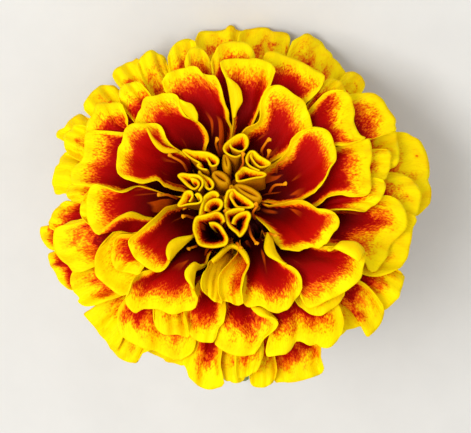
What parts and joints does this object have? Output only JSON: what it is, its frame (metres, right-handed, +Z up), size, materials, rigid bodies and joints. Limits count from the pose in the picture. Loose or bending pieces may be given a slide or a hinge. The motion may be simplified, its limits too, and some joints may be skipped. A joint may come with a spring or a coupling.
{
  "type": "french marigold flower",
  "caption": "Double French marigold blossom in red and yellow, picked with a short stem and lying on its lowest petals and the stem's cut end.",
  "frame": {"origin": "on the table, under the middle of the flower's box", "axes": "+Z up from the table, +X across the head, +Y towards the side of the head that touches the table; the stem trails towards -Y"},
  "size_m": [0.0564, 0.0596, 0.0414],
  "materials": {
    "petal": "soft satin petal, deep red with bright yellow margins, orange where they meet",
    "disc_floret": "waxy amber tubes with yellow rims, dark red inside",
    "calyx": "ribbed green, slightly waxy",
    "stem": "finely ribbed green with a purple tinge, pale at the cut"
  },
  "bodies": {
    "root": {"ray_florets": "petal", "disc_florets": "disc_floret", "calyx": "calyx", "stem": "stem"}
  },
  "joints": []
}
